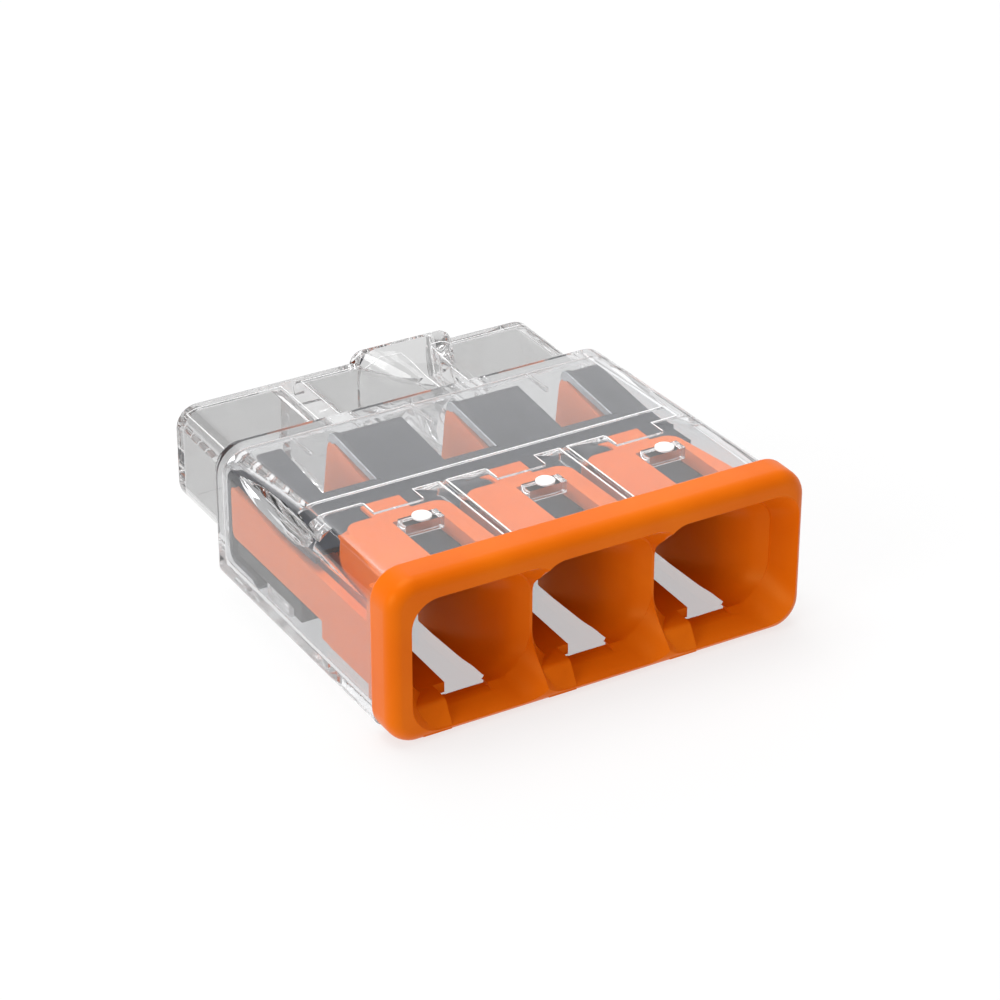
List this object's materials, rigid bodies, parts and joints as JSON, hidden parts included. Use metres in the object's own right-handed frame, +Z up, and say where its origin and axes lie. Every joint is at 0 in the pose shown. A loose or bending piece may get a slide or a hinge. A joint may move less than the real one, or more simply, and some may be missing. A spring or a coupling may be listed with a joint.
{
  "type": "push-in wire connector",
  "caption": "Push-in wire splicing connector: clear housing over a coloured entry cover, a contact bar and a comb of spring tongues that grip stripped wires.",
  "frame": {"origin": "middle of the overall box in plan, at the height of the plate's lowest edge", "axes": "+X across the lanes, left to right for someone facing the wire entries; +Y from the wire entries to the rear; +Z up, out of the smooth top"},
  "size_m": [0.0142, 0.0152, 0.0054],
  "materials": {
    "clear_plastic": "clear polycarbonate, polished mould surface",
    "orange_plastic": "orange polyamide, semi-gloss",
    "tinned_copper": "tin plated copper, satin",
    "spring_steel": "stainless spring steel strip, fine rolled grain"
  },
  "bodies": {
    "housing": {"clear_housing": "clear_plastic", "entry_cover": "orange_plastic", "busbar": "tinned_copper", "clamp_spring": "spring_steel"},
    "tongue_left": {"clamp_tongue_left": "spring_steel"},
    "tongue_centre": {"clamp_tongue_centre": "spring_steel"},
    "tongue_right": {"clamp_tongue_right": "spring_steel"}
  },
  "joints": [
    {"name": "tongue_left_flex", "type": "hinge", "parent": "housing", "child": "tongue_left", "pos_m": [-0.00425, -0.0054, 0.00352], "axis": [1, 0, 0], "range_deg": [0, 14], "stiffness_Nm_per_rad": 0.1},
    {"name": "tongue_centre_flex", "type": "hinge", "parent": "housing", "child": "tongue_centre", "pos_m": [-0.00005, -0.0054, 0.00352], "axis": [1, 0, 0], "range_deg": [0, 14], "stiffness_Nm_per_rad": 0.1},
    {"name": "tongue_right_flex", "type": "hinge", "parent": "housing", "child": "tongue_right", "pos_m": [0.00415, -0.0054, 0.00352], "axis": [1, 0, 0], "range_deg": [0, 14], "stiffness_Nm_per_rad": 0.1}
  ]
}
